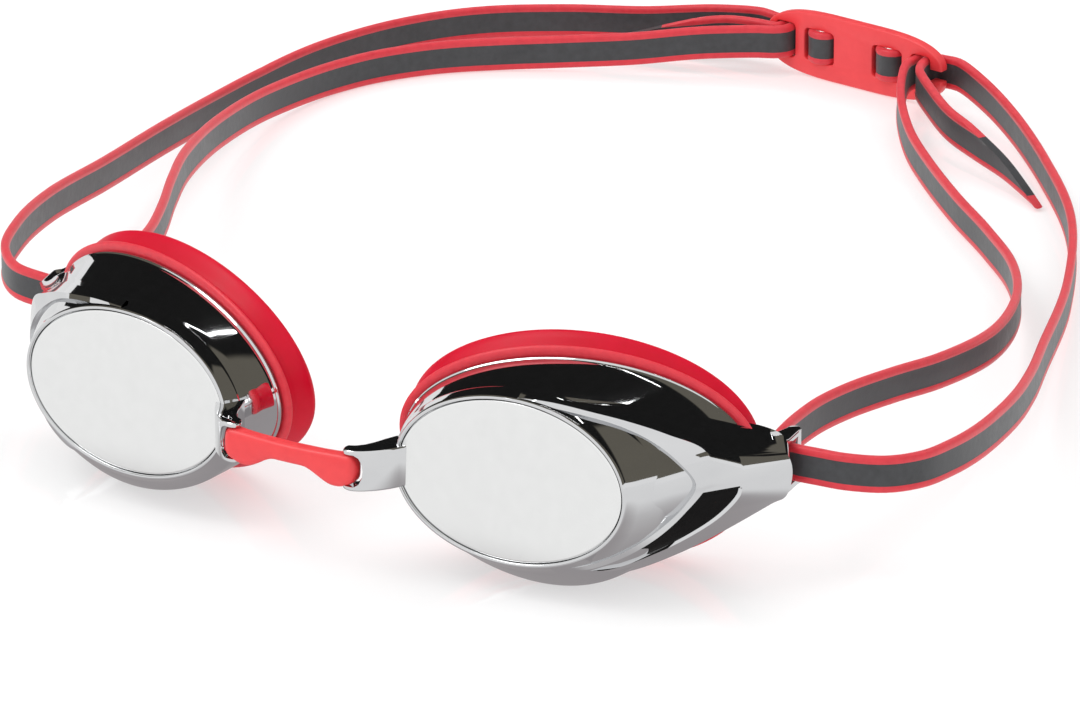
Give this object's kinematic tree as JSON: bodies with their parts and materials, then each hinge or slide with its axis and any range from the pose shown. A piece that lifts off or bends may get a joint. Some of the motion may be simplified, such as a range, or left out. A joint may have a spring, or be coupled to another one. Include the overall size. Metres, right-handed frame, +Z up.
{
  "type": "swim goggles",
  "caption": "Low-profile racing swim goggles with mirrored eyecups, a swivelling nose bridge, soft face gaskets and a split flat strap held by a rear clip.",
  "frame": {"origin": "bottom centre of the goggles' bounding box, on the surface they stand on", "axes": "+X towards the viewer's right of the front, +Y from the lenses back to the rear clip, +Z up"},
  "size_m": [0.2114, 0.2472, 0.0393],
  "materials": {
    "chrome_shell": "mirror bright vacuum coating on moulded plastic",
    "mirror_lens": "silver mirror coating",
    "red_seal": "satin soft silicone",
    "coral_bridge": "satin",
    "coral_clip": "satin",
    "strap_silicone": "dull grey band with coral edges"
  },
  "bodies": {
    "root": {"nose_bridge": "coral_bridge", "rear_clip": "coral_clip", "left_strap_outer": "strap_silicone", "right_strap_outer": "strap_silicone", "left_strap_inner": "strap_silicone", "right_strap_inner": "strap_silicone", "left_strap_tail": "strap_silicone", "right_strap_tail": "strap_silicone", "strap_weave": "strap_silicone"},
    "left_cup": {"left_eyecup": "chrome_shell", "left_lens": "mirror_lens", "left_gasket": "red_seal", "left_strap_turn": "strap_silicone"},
    "right_cup": {"right_eyecup": "chrome_shell", "right_lens": "mirror_lens", "right_gasket": "red_seal", "right_strap_turn": "strap_silicone"}
  },
  "joints": [
    {"name": "left_cup_hinge", "type": "hinge", "parent": "root", "child": "left_cup", "pos_m": [0.006, -0.12156, 0.0191], "axis": [0, 0, 1], "range_deg": [-12, 12], "stiffness_Nm_per_rad": 0.02, "deforming": ["left_strap_outer", "left_strap_inner"]},
    {"name": "right_cup_hinge", "type": "hinge", "parent": "root", "child": "right_cup", "pos_m": [0.028, -0.12156, 0.0191], "axis": [0, 0, 1], "range_deg": [-12, 12], "stiffness_Nm_per_rad": 0.02, "deforming": ["right_strap_outer", "right_strap_inner"]}
  ]
}
